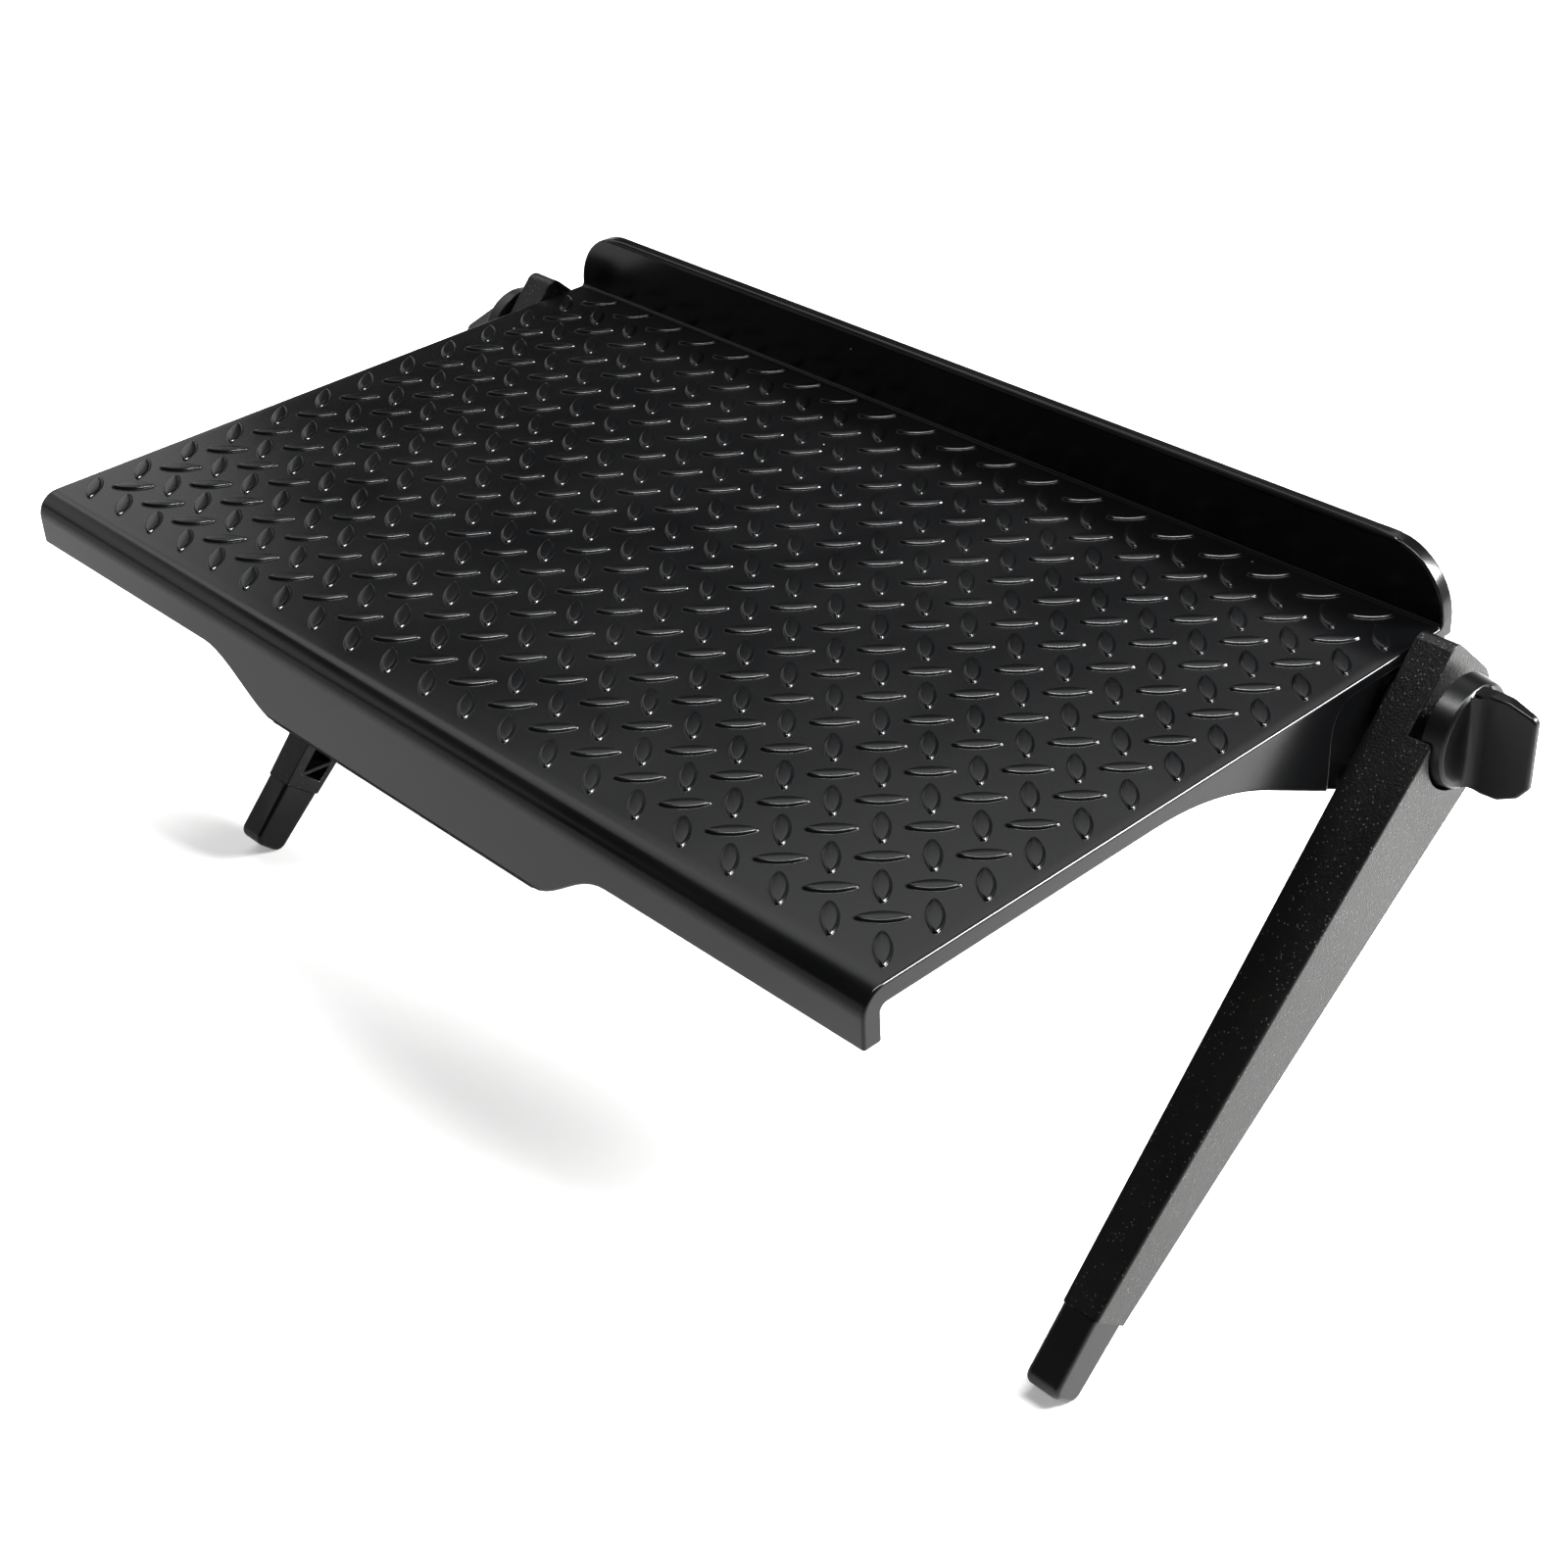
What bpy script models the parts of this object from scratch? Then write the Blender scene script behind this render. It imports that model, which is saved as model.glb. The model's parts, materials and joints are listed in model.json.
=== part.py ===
"""Screen-top shelf: a tread-plate deck with a front lip, a rear fence and two folding rear legs.

The deck rests on the top edge of a screen.  Its lip hooks over the front, and the two legs press
their rubber feet against the back.  Each leg turns on a bolt and is clamped by a thumb knob.

Frame: +X to the right, +Y to the rear, +Z up.  The origin is on the underside of the front deck
pad, at its centre, which is where the shelf sits on a screen.  All lengths are metres.
"""
import math

import bmesh
import bpy
from mathutils import Matrix, Vector

MM = 0.001
GAP = 0.3 * MM                      # between pieces that touch

# Deck, the moulding that carries everything
DECK_WIDTH = 300 * MM
FRONT_Y = -18.9 * MM                # front face of the lip
REAR_Y = 167.5 * MM                 # rear face of the fence
DECK_TOP = 5.7 * MM
RIM_BOTTOM = 0.8 * MM
PLATE_BOTTOM = 2.9 * MM             # inside the rib cells
RIB_BOTTOM = 1.0 * MM
ROLL_RADIUS = 6 * MM                # where the deck turns down into the lip
LIP_THICK = 4.9 * MM
LIP_BOTTOM = -7.6 * MM
TAB_BOTTOM = -20.1 * MM
TAB_HALF = 47 * MM                  # flat part of the tab's lower edge
TAB_SWEEP = 28 * MM                 # length of the S curve on each side of it
FENCE_THICK = 4.2 * MM
FENCE_HEIGHT = 17.8 * MM
FENCE_RADIUS = 17.3 * MM
WALL_THICK = 4 * MM                 # side walls below the deck
LIP_BACK = FRONT_Y + LIP_THICK
FENCE_FRONT = REAR_Y - FENCE_THICK
HALF = DECK_WIDTH / 2

# Gusset, the part of each side wall that carries the leg
PIVOT_Y = 150.4 * MM
PIVOT_Z = -8.6 * MM
GUSSET_RADIUS = 21.1 * MM
GUSSET_SLOPE = math.radians(26.5)
GUSSET_BLEND = 84 * MM
BOSS_RADIUS = 9.2 * MM
BOSS_INNER_X = 138 * MM
POCKET_DEPTH = 1.2 * MM
POCKET_FRONT = 124.6 * MM
POCKET_TOP = DECK_TOP - 3.2 * MM
POCKET_RADIUS = 7 * MM

# Ribs and pads under the deck
CELL_COLUMNS = 8
CELL_ROWS = ((12, 39), (40.8, 66.2), (68, 94), (118, 138.8), (140.6, 161))
RIB_THICK = 1.8 * MM
PAD_THICK = 1.5 * MM
PAD_SIZE = (220 * MM, 16 * MM)
REAR_PAD_Y = 106 * MM

# Leg, drawn hanging straight down from the pivot and then leaned forward
LEG_LEAN = math.radians(-43.3)
LEG_INNER_X = 151.2 * MM
LEG_HEAD_X = 160.7 * MM             # outer face where the knob sits
LEG_OUTER_X = (167.1 * MM, 161.0 * MM)   # outer face at the pivot and at the leg's end
LEG_END = 151.6 * MM                # pivot to the leg's end
LEG_FRONT = -11.7 * MM
LEG_REAR = (13.75 * MM, 0.45 * MM)       # rear face at the pivot and at the leg's end
LEG_END_SLANT = 0.8 * MM            # how much shorter the leg is along its rear face
HEAD_TOP = 16.1 * MM
HEAD_RADIUS = (3 * MM, 9 * MM)      # front and rear corner of the leg's head
RECESS_RADIUS = 13.6 * MM
WEB_THICK = 2.6 * MM                # channel floor
FLANGE_THICK = (3.0 * MM, 1.3 * MM)      # front and rear flange
LEG_RIB = 1.2 * MM
CHANNEL_TOP = 17 * MM
CHANNEL_END = 147.6 * MM
SPIGOT_LENGTH = 11 * MM
SPIGOT_WALL = 2.2 * MM
CAP_TOP_GAP = 0.35 * MM
CAP_END = 171.2 * MM
CAP_RADIUS = 3 * MM
OUTER_STOCK = 10 * MM               # how far out the leg is drawn before its outer face slopes

# Bolt, washers and knob
BOLT_RADIUS = 2.5 * MM
BOLT_HOLE = 2.9 * MM
BOLT_END_X = 167.1 * MM
HEAD_FLATS = 8 * MM
HEAD_THICK = 3.5 * MM
HEX_FLOOR_X = 142.2 * MM
FRICTION_RING_RADIUS = 8.3 * MM
FRICTION_RING_THICK = 1.0 * MM
WASHER_RADIUS = 7 * MM
WASHER_THICK = 1.2 * MM
KNOB_RADIUS = (13.3 * MM, 12.5 * MM)     # at the disc's base and at its face
KNOB_EDGE = 0.6 * MM
KNOB_DISC = 5.5 * MM
PADDLE_REACH = 14.6 * MM            # beyond the disc
PADDLE_HALF = 12.6 * MM
PADDLE_THICK = (4.2 * MM, 2.2 * MM)     # at the disc's face and at its end
PADDLE_FOOT = 1.7 * MM              # chamfer where the paddle meets the disc
INSERT_RADIUS = 3.9 * MM
INSERT_LENGTH = 3.8 * MM
LEG_SHIFT = {"right": 0.0, "left": 0.8 * MM}              # the left leg is clamped to its ring
KNOB_FACE_X = {"right": 163.7 * MM, "left": 161.7 * MM}   # and the left knob is tight
KNOB_TURN = {"right": 0.0, "left": math.radians(-75)}

ROUND = 48                          # sides of a round piece
WIDE_ROUND = 3.5 * MM               # corners rounded wider than this get more steps
COLOURS = {
    "black_plastic": ((0.018, 0.018, 0.019), 0.42, 0.0),
    "grained_plastic": ((0.022, 0.022, 0.022), 0.55, 0.0),
    "knob_plastic": ((0.03, 0.031, 0.031), 0.38, 0.0),
    "rubber": ((0.02, 0.02, 0.021), 0.6, 0.0),
    "foam_rubber": ((0.035, 0.035, 0.036), 0.85, 0.0),
    "nylon": ((0.02, 0.02, 0.02), 0.45, 0.0),
    "zinc_steel": ((0.6, 0.6, 0.62), 0.3, 1.0),
    "brass": ((0.78, 0.6, 0.3), 0.3, 1.0),
}


# ---------------------------------------------------------------- scene and materials
def start_scene():
    for item in list(bpy.data.objects):
        bpy.data.objects.remove(item)
    parts = bpy.data.collections.new("screen_top_shelf")
    cutters = bpy.data.collections.new("cutters")
    bpy.context.scene.collection.children.link(parts)
    bpy.context.scene.collection.children.link(cutters)
    return parts, cutters


def make_material(name):
    colour, roughness, metallic = COLOURS[name]
    material = bpy.data.materials.new(name)
    material.use_nodes = True
    shader = material.node_tree.nodes["Principled BSDF"]
    shader.inputs["Base Color"].default_value = (*colour, 1)
    shader.inputs["Roughness"].default_value = roughness
    shader.inputs["Metallic"].default_value = metallic
    material.diffuse_color = (*colour, 1)
    return material


# ---------------------------------------------------------------- shape helpers
def arc(centre, radius, start, end, steps):
    """Points on a circle from one angle in degrees to another, both ends included."""
    angles = (math.radians(start + (end - start) * i / steps) for i in range(steps + 1))
    return [(centre[0] + radius * math.cos(a), centre[1] + radius * math.sin(a)) for a in angles]


def rounded(corners):
    """An outline from (a, b, radius) corners, each rounded by an arc tangent to its two sides."""
    outline = []
    for i, (a, b, radius) in enumerate(corners):
        steps = 5 if radius < WIDE_ROUND else 9
        corner = Vector((a, b))
        if radius == 0:
            outline.append((a, b))
            continue
        before = (Vector(corners[i - 1][:2]) - corner).normalized()
        after = (Vector(corners[(i + 1) % len(corners)][:2]) - corner).normalized()
        half = math.acos(max(-1, min(1, before.dot(after)))) / 2
        centre = corner + (before + after).normalized() * radius / math.sin(half)
        first = (corner + before * radius / math.tan(half)) - centre
        last = (corner + after * radius / math.tan(half)) - centre
        turn = math.atan2(first.x * last.y - first.y * last.x, first.dot(last))
        for step in range(steps + 1):
            point = centre + Matrix.Rotation(turn * step / steps, 2) @ first
            outline.append((point.x, point.y))
    return outline


def object_from(bm, name):
    """A new object, in no collection yet, with the faces of bm pointing out."""
    bmesh.ops.remove_doubles(bm, verts=bm.verts, dist=1e-6)
    bmesh.ops.recalc_face_normals(bm, faces=bm.faces)
    mesh = bpy.data.meshes.new(name)
    bm.to_mesh(mesh)
    bm.free()
    piece = bpy.data.objects.new(name, mesh)
    parts.objects.link(piece)
    return piece


def plate(name, outline, low, high, along):
    """A flat outline as a filled 2D curve, extruded from low to high along X, Y or Z.

    The outline's points are (y, z) for X, (x, z) for Y and (x, y) for Z.
    """
    curve = bpy.data.curves.new(name, "CURVE")
    curve.dimensions = "2D"
    curve.fill_mode = "BOTH"
    curve.extrude = (high - low) / 2
    spline = curve.splines.new("POLY")
    spline.points.add(len(outline) - 1)
    for point, (a, b) in zip(spline.points, outline):
        point.co = (a, b, 0, 1)
    spline.use_cyclic_u = True
    source = bpy.data.objects.new(name, curve)
    parts.objects.link(source)
    mesh = bpy.data.meshes.new_from_object(source.evaluated_get(bpy.context.evaluated_depsgraph_get()))
    bpy.data.objects.remove(source)
    turn = {"X": Matrix(((0, 0, 1), (1, 0, 0), (0, 1, 0))),
            "Y": Matrix(((1, 0, 0), (0, 0, -1), (0, 1, 0))),
            "Z": Matrix.Identity(3)}[along]
    middle = (high + low) / 2
    shift = {"X": Vector((middle, 0, 0)), "Y": Vector((0, middle, 0)), "Z": Vector((0, 0, middle))}[along]
    bm = bmesh.new()
    bm.from_mesh(mesh)
    for vert in bm.verts:
        vert.co = turn @ vert.co + shift
    return object_from(bm, name)


def box(name, low, high):
    bm = bmesh.new()
    bmesh.ops.create_cube(bm, size=1)
    for vert in bm.verts:
        vert.co = [a + (b - a) * (c + 0.5) for a, b, c in zip(low, high, vert.co)]
    return object_from(bm, name)


def rod(name, radius, low, high, centre=(0, 0), sides=ROUND, end_radius=None):
    """A cylinder or cone along X, whose centre is given as (y, z)."""
    bm = bmesh.new()
    bmesh.ops.create_cone(bm, cap_ends=True, segments=sides, radius1=radius, depth=high - low,
                          radius2=radius if end_radius is None else end_radius)
    turn = Matrix(((0, 0, 1), (1, 0, 0), (0, 1, 0)))
    for vert in bm.verts:
        vert.co = turn @ vert.co + Vector(((low + high) / 2, *centre))
    return object_from(bm, name)


def combine(target, tool, operation):
    """Cut the tool out of the target, or join it on, and keep the result as the target's mesh."""
    modifier = target.modifiers.new(operation.lower(), "BOOLEAN")
    modifier.operation = operation
    modifier.object = tool
    bpy.context.view_layer.update()
    evaluated = target.evaluated_get(bpy.context.evaluated_depsgraph_get())
    mesh = bpy.data.meshes.new_from_object(evaluated)
    target.modifiers.remove(modifier)
    target.data = mesh
    parts.objects.unlink(tool)
    cutters.objects.link(tool)
    tool.hide_render = True
    tool.display_type = "WIRE"


def cut(target, *tools):
    for tool in tools:
        combine(target, tool, "DIFFERENCE")


def join(target, *tools):
    for tool in tools:
        combine(target, tool, "UNION")


def mirrored(piece, name):
    """A copy of a right-hand piece for the left-hand side, with its faces still pointing out."""
    bm = bmesh.new()
    bm.from_mesh(piece.data)
    for vert in bm.verts:
        vert.co.x = -vert.co.x
    bmesh.ops.reverse_faces(bm, faces=bm.faces)
    return object_from(bm, name)


def finish(piece, material, origin=(0, 0, 0), tilt=0.0, parent=None):
    """Set material and shading, then move the drawn piece to its origin, turned about X."""
    piece.data.materials.clear()
    piece.data.materials.append(material)
    piece.data.shade_smooth()
    piece.data.set_sharp_from_angle(angle=math.radians(35))
    piece.location = origin
    piece.rotation_euler = (tilt, 0, 0)
    if parent is not None:
        piece.parent = parent
    return piece


# ---------------------------------------------------------------- shelf
def side_profile():
    """The deck's section in (y, z): lip, roll, deck, fence and gusset in one closed outline."""
    slope = GUSSET_SLOPE
    pivot = Vector((PIVOT_Y, PIVOT_Z))
    touch = pivot + GUSSET_RADIUS * Vector((-math.sin(slope), -math.cos(slope)))
    blend_drop = GUSSET_BLEND * (1 - math.cos(slope))
    blend_end_y = touch.x - (RIM_BOTTOM - blend_drop - touch.y) / math.tan(slope)
    blend_start_y = blend_end_y - GUSSET_BLEND * math.sin(slope)
    blend = arc((blend_start_y, RIM_BOTTOM - GUSSET_BLEND), GUSSET_BLEND, 90, 90 - math.degrees(slope), 10)
    rear_angle = -math.degrees(math.acos((REAR_Y - PIVOT_Y) / GUSSET_RADIUS))
    toe = arc(pivot, GUSSET_RADIUS, -90 - math.degrees(slope), rear_angle, 10)
    lower = [(y, z, 0) for y, z in blend + toe]
    corners = [
        (LIP_BACK, RIM_BOTTOM, 1.5 * MM),
        *lower,
        (REAR_Y, DECK_TOP + FENCE_HEIGHT, 1.2 * MM),
        (FENCE_FRONT, DECK_TOP + FENCE_HEIGHT, 1.2 * MM),
        (FENCE_FRONT, DECK_TOP, 1.0 * MM),
        (FRONT_Y, DECK_TOP, ROLL_RADIUS),
        (FRONT_Y, TAB_BOTTOM, 1.5 * MM),
        (LIP_BACK, TAB_BOTTOM, 1.5 * MM),
    ]
    return rounded(corners)


def tab_sweep(steps=12):
    """The S curve in (x, z) from the lip's lower edge in to the tab's lower edge, right-hand side."""
    for i in range(steps + 1):
        share = i / steps
        ease = (1 - math.cos(math.pi * share)) / 2
        yield (TAB_HALF + TAB_SWEEP * (1 - share), LIP_BOTTOM + (TAB_BOTTOM - LIP_BOTTOM) * ease)


def lip_cutter():
    """Everything below the lip's lower edge, except the tab."""
    side = HALF + 10 * MM
    low = TAB_BOTTOM - 10 * MM
    right = [(side, low), (side, LIP_BOTTOM), *tab_sweep(), (TAB_HALF, low)]
    left = [(-x, z) for x, z in reversed(right)]
    front, back = FRONT_Y - 5 * MM, LIP_BACK + 5 * MM
    return (plate("lip_cut_right", right, front, back, "Y"),
            plate("lip_cut_left", left, front, back, "Y"))


def fence_cutters():
    """The outside of the fence's two rounded upper corners."""
    top = DECK_TOP + FENCE_HEIGHT
    reach = 2 * MM
    centre = (HALF - FENCE_RADIUS, top - FENCE_RADIUS)
    corner = arc(centre, FENCE_RADIUS, 0, 90, 12)
    outline = ([(HALF + reach, centre[1])] + corner
               + [(centre[0], top + reach), (HALF + reach, top + reach)])
    mirror = [(-x, z) for x, z in reversed(outline)]
    front, back = FENCE_FRONT - 5 * MM, REAR_Y + 5 * MM
    return (plate("fence_cut_right", outline, front, back, "Y"),
            plate("fence_cut_left", mirror, front, back, "Y"))


def rib_cells():
    """The hollows between the ribs, as one row of boxes after another."""
    inner = HALF - WALL_THICK
    pitch = (2 * inner + RIB_THICK) / CELL_COLUMNS
    for front, back in CELL_ROWS:
        for column in range(CELL_COLUMNS):
            left = -inner + column * pitch
            yield box("rib_cell", (left, front * MM, -2 * MM),
                      (left + pitch - RIB_THICK, back * MM, PLATE_BOTTOM))


def build_shelf(material):
    shelf = plate("shelf", side_profile(), -HALF, HALF, "X")
    cut(shelf, *lip_cutter(), *fence_cutters())
    inner = HALF - WALL_THICK
    bay = box("bay", (-inner, LIP_BACK + 4.5 * MM, -60 * MM), (inner, REAR_Y + 5 * MM, RIB_BOTTOM))
    cut(shelf, bay)
    cut(shelf, *rib_cells())
    seat = [(side / 2 + 0.5 * MM) for side in PAD_SIZE]
    for centre in (0, REAR_PAD_Y):
        cut(shelf, box("pad_seat", (-seat[0], centre - seat[1], -2 * MM),
                       (seat[0], centre + seat[1], PAD_THICK + GAP)))
    for sign in (1, -1):
        add_pivot(shelf, sign)
    return finish(shelf, material)


def span(sign, low, high):
    """Low and high X of a right-hand feature, or of its mirror image."""
    return (low, high) if sign > 0 else (-high, -low)


def add_pivot(shelf, sign):
    """The bolt boss inside one side wall, its hole and hex pocket, and the pocket outside."""
    pivot = (PIVOT_Y, PIVOT_Z)
    join(shelf, rod("boss", BOSS_RADIUS, *span(sign, BOSS_INNER_X, HALF - 2 * MM), pivot))
    low = PIVOT_Z - GUSSET_RADIUS - 5 * MM
    corners = [(POCKET_FRONT, low, 0), (REAR_Y + 5 * MM, low, 0),
               (REAR_Y + 5 * MM, POCKET_TOP, 0), (POCKET_FRONT, POCKET_TOP, POCKET_RADIUS)]
    cut(shelf, plate("leg_pocket", rounded(corners), *span(sign, HALF - POCKET_DEPTH, HALF + 5 * MM), "X"))
    cut(shelf, rod("bolt_hole", BOLT_HOLE, *span(sign, BOSS_INNER_X - 5 * MM, HALF + 5 * MM), pivot, 32))
    hex_radius = (HEAD_FLATS / 2 + GAP) / math.cos(math.radians(30))
    cut(shelf, rod("hex_pocket", hex_radius, *span(sign, BOSS_INNER_X - 5 * MM, HEX_FLOOR_X), pivot, 6))


# ---------------------------------------------------------------- pads
def build_pads(material):
    half = [side / 2 for side in PAD_SIZE]
    corner = 3 * MM
    for name, centre in (("deck_pad_front", 0), ("deck_pad_rear", REAR_PAD_Y)):
        outline = rounded([(-half[0], centre - half[1], corner), (half[0], centre - half[1], corner),
                           (half[0], centre + half[1], corner), (-half[0], centre + half[1], corner)])
        finish(plate(name, outline, 0, PAD_THICK, "Z"), material)
    low, high, side = TAB_BOTTOM + 2 * MM, -3 * MM, TAB_HALF - 3 * MM
    outline = rounded([(-side, low, corner), (side, low, corner), (side, high, corner), (-side, high, corner)])
    lip_pad = plate("lip_pad", outline, LIP_BACK + GAP, LIP_BACK + GAP + PAD_THICK, "Y")
    finish(lip_pad, material)


# ---------------------------------------------------------------- leg
def along_leg(pair, distance):
    """A size that tapers evenly from the pivot to the leg's end, at some distance down the leg."""
    return pair[0] + (pair[1] - pair[0]) * distance / LEG_END


def slope_outer_face(piece):
    """Bring every point of the flat outer face onto the face that slopes in towards the foot."""
    for vert in piece.data.vertices:
        if vert.co.x > LEG_INNER_X + OUTER_STOCK / 2:
            vert.co.x = along_leg(LEG_OUTER_X, -vert.co.z)
    piece.data.update()


def leg_section(top, bottom, wall=0.0, slant=0.0, corners=(0, 0)):
    """The leg's outline in (y, z) between two distances down the leg, with its walls moved in."""
    return [
        (LEG_FRONT + wall, -bottom, 0),
        (along_leg(LEG_REAR, bottom) - wall, slant - bottom, 0),
        (along_leg(LEG_REAR, top) - wall, -top, corners[1]),
        (LEG_FRONT + wall, -top, corners[0]),
    ]


def inset(triangle, distance):
    """A triangle with its three sides moved in by the same distance."""
    points = [Vector(p) for p in triangle]
    sides = [(points[(i + 2) % 3] - points[(i + 1) % 3]).length for i in range(3)]
    total = sum(sides)
    centre = sum((p * s for p, s in zip(points, sides)), Vector((0, 0))) / total
    area = abs((points[1] - points[0]).cross(points[2] - points[0])) / 2
    in_radius = 2 * area / total
    return [tuple(centre + (p - centre) * (1 - distance / in_radius)) for p in points]


def channel_cells():
    """The triangles between the zigzag ribs, from the head of the channel to its end."""
    def depth(distance):
        return along_leg(LEG_REAR, distance) - LEG_FRONT - sum(FLANGE_THICK)

    stations = [CHANNEL_TOP]
    while stations[-1] + 0.75 * depth(stations[-1]) < CHANNEL_END:
        stations.append(stations[-1] + 0.75 * depth(stations[-1]))
    stretch = (CHANNEL_END - CHANNEL_TOP) / (stations[-1] - CHANNEL_TOP)
    stations = [CHANNEL_TOP + (s - CHANNEL_TOP) * stretch for s in stations]

    def point(index, at_front):
        distance = stations[index]
        rear = along_leg(LEG_REAR, distance) - FLANGE_THICK[1]
        return LEG_FRONT + FLANGE_THICK[0] if at_front else rear, -distance

    last = len(stations) - 1
    cells = [[point(0, True), point(0, False), point(1, False)]]
    for i in range(last - 1):
        front = i % 2 == 0
        cells.append([point(i, front), point(i + 1, not front), point(i + 2, front)])
    front = (last - 1) % 2 == 0
    cells.append([point(last - 1, front), point(last, front), point(last, not front)])
    return [inset(cell, LEG_RIB / 2) for cell in cells]


def build_leg(material):
    """The right leg, hanging straight down from the pivot at the origin."""
    outline = rounded(leg_section(-HEAD_TOP, LEG_END, slant=LEG_END_SLANT, corners=HEAD_RADIUS))
    leg = plate("leg_right", outline, LEG_INNER_X, LEG_INNER_X + OUTER_STOCK, "X")
    slope_outer_face(leg)

    spigot = plate("spigot", rounded(leg_section(LEG_END - 2 * MM, LEG_END + SPIGOT_LENGTH, SPIGOT_WALL)),
                   LEG_INNER_X + SPIGOT_WALL, LEG_OUTER_X[1] - SPIGOT_WALL, "X")
    join(leg, spigot)

    for cell in channel_cells():
        middle = -sum(z for _, z in cell) / 3
        floor = along_leg(LEG_OUTER_X, middle) - WEB_THICK
        cut(leg, plate("channel_cell", cell, LEG_INNER_X - 5 * MM, floor, "X"))

    far = LEG_OUTER_X[0] + 10 * MM
    wide = 30 * MM
    seat = [(y, z) for y, z in arc((0, 0), RECESS_RADIUS, 180, 360, 24)]
    outline = seat + [(wide, 0), (wide, HEAD_TOP + 5 * MM), (-wide, HEAD_TOP + 5 * MM), (-wide, 0)]
    cut(leg, plate("knob_recess", outline, LEG_HEAD_X, far, "X"))
    cut(leg, rod("leg_hole", BOLT_HOLE, LEG_INNER_X - 5 * MM, far, (0, 0), 32))
    return finish(leg, material, origin=(LEG_SHIFT["right"], PIVOT_Y, PIVOT_Z), tilt=LEG_LEAN)


def build_foot_cap(material, leg):
    """The rubber cap over the right leg's spigot, drawn in the leg's own frame."""
    top = LEG_END + CAP_TOP_GAP
    section = leg_section(top, CAP_END)
    section[0] = (*section[0][:2], CAP_RADIUS)
    section[1] = (*section[1][:2], CAP_RADIUS)
    outer_x = along_leg(LEG_OUTER_X, (top + CAP_END) / 2)
    cap = plate("foot_cap_right", rounded(section), LEG_INNER_X, outer_x, "X")
    wall = SPIGOT_WALL - GAP
    socket = plate("socket", rounded(leg_section(top - 2 * MM, LEG_END + SPIGOT_LENGTH + GAP, wall)),
                   LEG_INNER_X + wall, LEG_OUTER_X[1] - wall, "X")
    cut(cap, socket)
    return finish(cap, material, parent=leg)


# ---------------------------------------------------------------- bolt, rings and knob
def build_ring(name, outer, inner, low, high, sides=ROUND):
    ring = rod(name, outer, low, high, sides=sides)
    cut(ring, rod(name + "_hole", inner, low - MM, high + MM, sides=sides))
    return ring


def build_bolt():
    """The right bolt: a hex head held in the boss, and a shank that runs out to the knob."""
    head_low = HEX_FLOOR_X - GAP - HEAD_THICK
    bolt = rod("pivot_bolt_right", HEAD_FLATS / 2 / math.cos(math.radians(30)), head_low,
               head_low + HEAD_THICK, sides=6)
    join(bolt, rod("shank", BOLT_RADIUS, head_low + HEAD_THICK - MM, BOLT_END_X - MM, sides=32))
    join(bolt, rod("shank_tip", BOLT_RADIUS, BOLT_END_X - MM, BOLT_END_X, sides=32, end_radius=1.9 * MM))
    return bolt


def paddle_outline():
    """The paddle in (x, z), from the disc's face out to its end: a firm upper corner, a cut lower one."""
    base, reach, half = KNOB_DISC - MM, KNOB_DISC + PADDLE_REACH, PADDLE_HALF
    return rounded([
        (base, -half * 0.93, 0),
        (KNOB_DISC + 3.6 * MM, -half, 4 * MM),
        (reach - 7 * MM, -half, 3 * MM),
        (reach - 2.3 * MM, 2.3 * MM - half, 2.2 * MM),
        (reach, 5.4 * MM - half, 1.4 * MM),
        (reach, half - 2.2 * MM, 2.2 * MM),
        (KNOB_DISC + 7.5 * MM, half, 5 * MM),
        (KNOB_DISC + 3.6 * MM, half, 4 * MM),
        (base, half * 0.93, 0),
    ])


def build_paddle():
    """The paddle, drawn square and then thinned towards its end."""
    paddle = plate("paddle", paddle_outline(), -0.5 * MM, 0.5 * MM, "Y")
    near, far = PADDLE_THICK
    for vert in paddle.data.vertices:
        thick = near + (far - near) * (vert.co.x - KNOB_DISC) / PADDLE_REACH
        vert.co.y *= thick / MM
    paddle.data.update()
    return paddle


def build_knob():
    """The right knob: a round disc and an upright paddle, drawn from the disc's inner face."""
    base, face = KNOB_RADIUS
    knob = rod("knob_right", base, 0, KNOB_DISC - KNOB_EDGE, end_radius=face)
    join(knob, rod("knob_rim", face, KNOB_DISC - KNOB_EDGE, KNOB_DISC, end_radius=face - KNOB_EDGE))
    join(knob, build_paddle())
    root, tip = PADDLE_THICK[0] / 2 + PADDLE_FOOT, PADDLE_THICK[0] / 2 - 0.4 * MM
    foot = [(KNOB_DISC - 0.6 * MM, -root), (KNOB_DISC, -root), (KNOB_DISC + root - tip, -tip),
            (KNOB_DISC + root - tip, tip), (KNOB_DISC, root), (KNOB_DISC - 0.6 * MM, root)]
    join(knob, plate("paddle_foot", foot, -PADDLE_HALF * 0.9, PADDLE_HALF * 0.9, "Z"))
    cut(knob, rod("insert_bore", INSERT_RADIUS + GAP, -MM, GAP + INSERT_LENGTH + GAP),
        rod("tip_bore", BOLT_HOLE, -MM, KNOB_DISC + 0.3 * MM, sides=32))
    return knob


def place_clamp(materials, side, sign, pieces):
    """Put one side's clamp pieces on the pivot axis, the knob turned as it is left."""
    face = KNOB_FACE_X[side]
    places = {
        "knob": ("knob_plastic", face, KNOB_TURN[side]),
        "thread_insert": ("brass", face + GAP, 0.0),
        "steel_washer": ("zinc_steel", face - GAP - WASHER_THICK, 0.0),
        "pivot_bolt": ("zinc_steel", 0.0, 0.0),
        "friction_ring": ("nylon", 0.0, 0.0),
    }
    for kind, (slot, x, tilt) in places.items():
        finish(pieces[kind][side], materials[slot], origin=(sign * x, PIVOT_Y, PIVOT_Z), tilt=tilt)


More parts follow.
